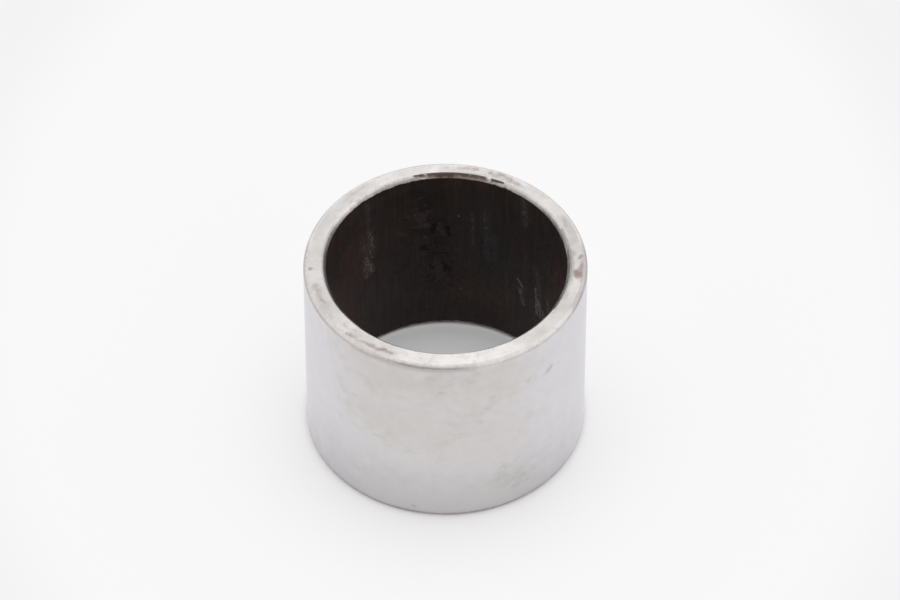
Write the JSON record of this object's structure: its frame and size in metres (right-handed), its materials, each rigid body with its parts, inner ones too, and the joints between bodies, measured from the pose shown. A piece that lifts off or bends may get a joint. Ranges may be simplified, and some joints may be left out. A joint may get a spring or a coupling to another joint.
{
  "type": "spacer sleeve",
  "caption": "Short steel spacer sleeve, ground outside, faced square at both ends, with a chamfered plain bore that clears a shaft.",
  "frame": {"origin": "centre of the lower end face, on the sleeve's axis", "axes": "+Z along the bore, from the lower end to the upper end; the sleeve stands on its lower end"},
  "size_m": [0.054, 0.054, 0.042],
  "materials": {
    "ground_steel": "satin ground outside and on the ends, dark mill scale in the bore"
  },
  "bodies": {
    "root": {"spacer_sleeve": "ground_steel"}
  },
  "joints": []
}
